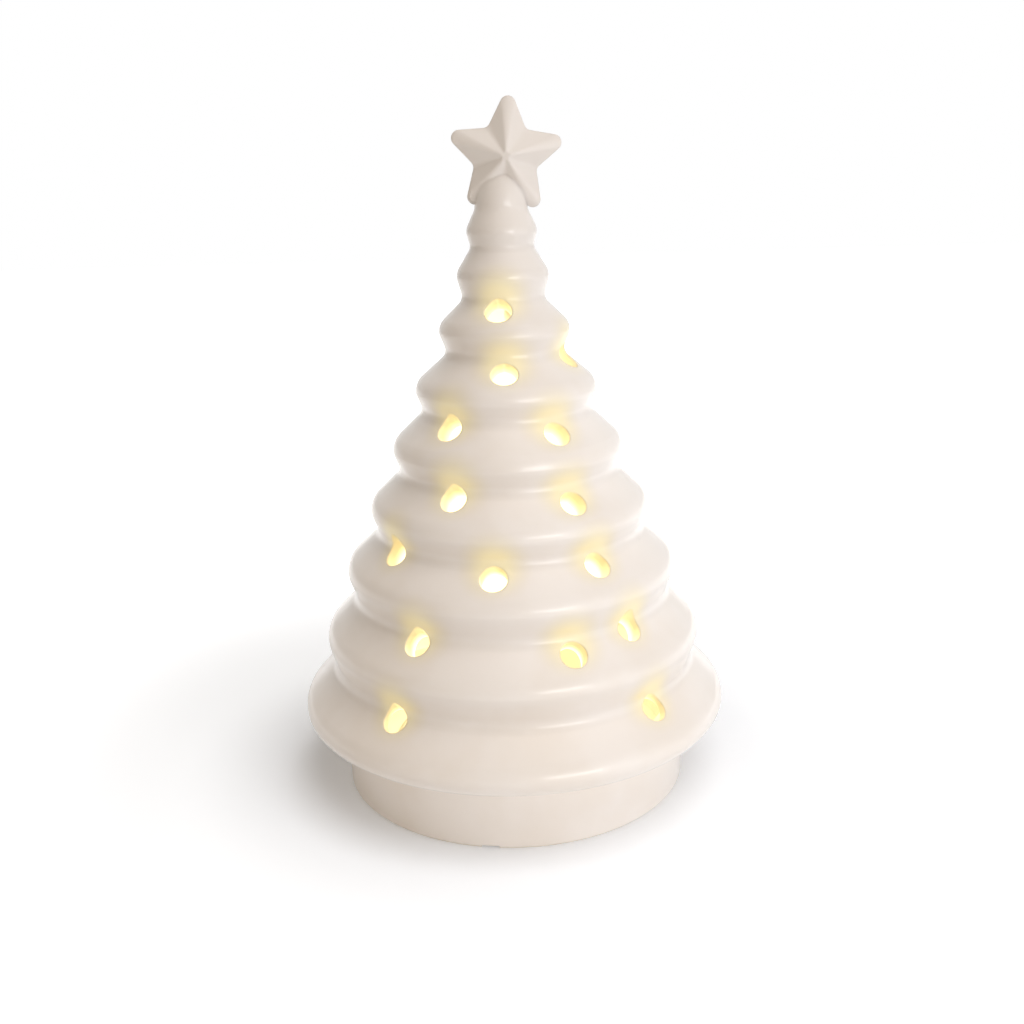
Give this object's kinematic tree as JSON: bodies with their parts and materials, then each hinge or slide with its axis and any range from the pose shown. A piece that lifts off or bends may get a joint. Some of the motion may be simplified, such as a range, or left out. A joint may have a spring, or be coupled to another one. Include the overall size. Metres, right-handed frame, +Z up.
{
  "type": "lit ceramic tree",
  "caption": "White glazed ceramic tree of rolled tiers with a star on top and open light holes, lit from inside by a battery light unit in its foot",
  "frame": {"origin": "centre of the foot ring, on the surface that the tree stands on", "axes": "+Z up the tree; the star faces -Y; the switch is on the +X side of the underside"},
  "size_m": [0.154, 0.154, 0.24],
  "materials": {
    "white_glaze": "glossy warm white glaze",
    "grommet_rubber": "matt pale rubber",
    "housing_plastic": "moulded off-white plastic",
    "cell_jacket": "plain dark printed jacket",
    "contact_metal": "nickel-plated strip",
    "board": "green board with solder resist",
    "warm_light": "warm white light chip",
    "black_plastic": "moulded black plastic",
    "frosted_lens": "frosted lens, lit from below",
    "screw_steel": "bright plated steel",
    "lead_plastic": "flat two-core lead"
  },
  "bodies": {
    "tree": {"ceramic_tree": "white_glaze", "rubber_grommet": "grommet_rubber"},
    "light_unit": {"light_housing": "housing_plastic", "battery_1": "cell_jacket", "battery_2": "cell_jacket", "battery_3": "cell_jacket", "contact_positive": "contact_metal", "contact_negative": "contact_metal", "cell_link_rear": "contact_metal", "cell_link_front": "contact_metal", "circuit_board": "board", "led_chips": "warm_light", "timer_chip": "black_plastic", "light_lid": "housing_plastic", "light_lens": "frosted_lens", "lid_screws": "screw_steel", "switch_body": "screw_steel", "switch_ribbon": "lead_plastic"},
    "battery_door": {"battery_door": "housing_plastic"},
    "switch_slider": {"switch_slider": "black_plastic"}
  },
  "joints": [
    {"name": "light_unit_pull", "type": "slide", "parent": "tree", "child": "light_unit", "axis": [0, 0, -1], "range_m": [0, 0.04]},
    {"name": "battery_door_hinge", "type": "hinge", "parent": "light_unit", "child": "battery_door", "pos_m": [0, -0.02605, 0.0016], "axis": [-1, 0, 0], "range_deg": [0, 70]},
    {"name": "switch_slide", "type": "slide", "parent": "light_unit", "child": "switch_slider", "axis": [0, 1, 0], "range_m": [0, 0.004]}
  ]
}
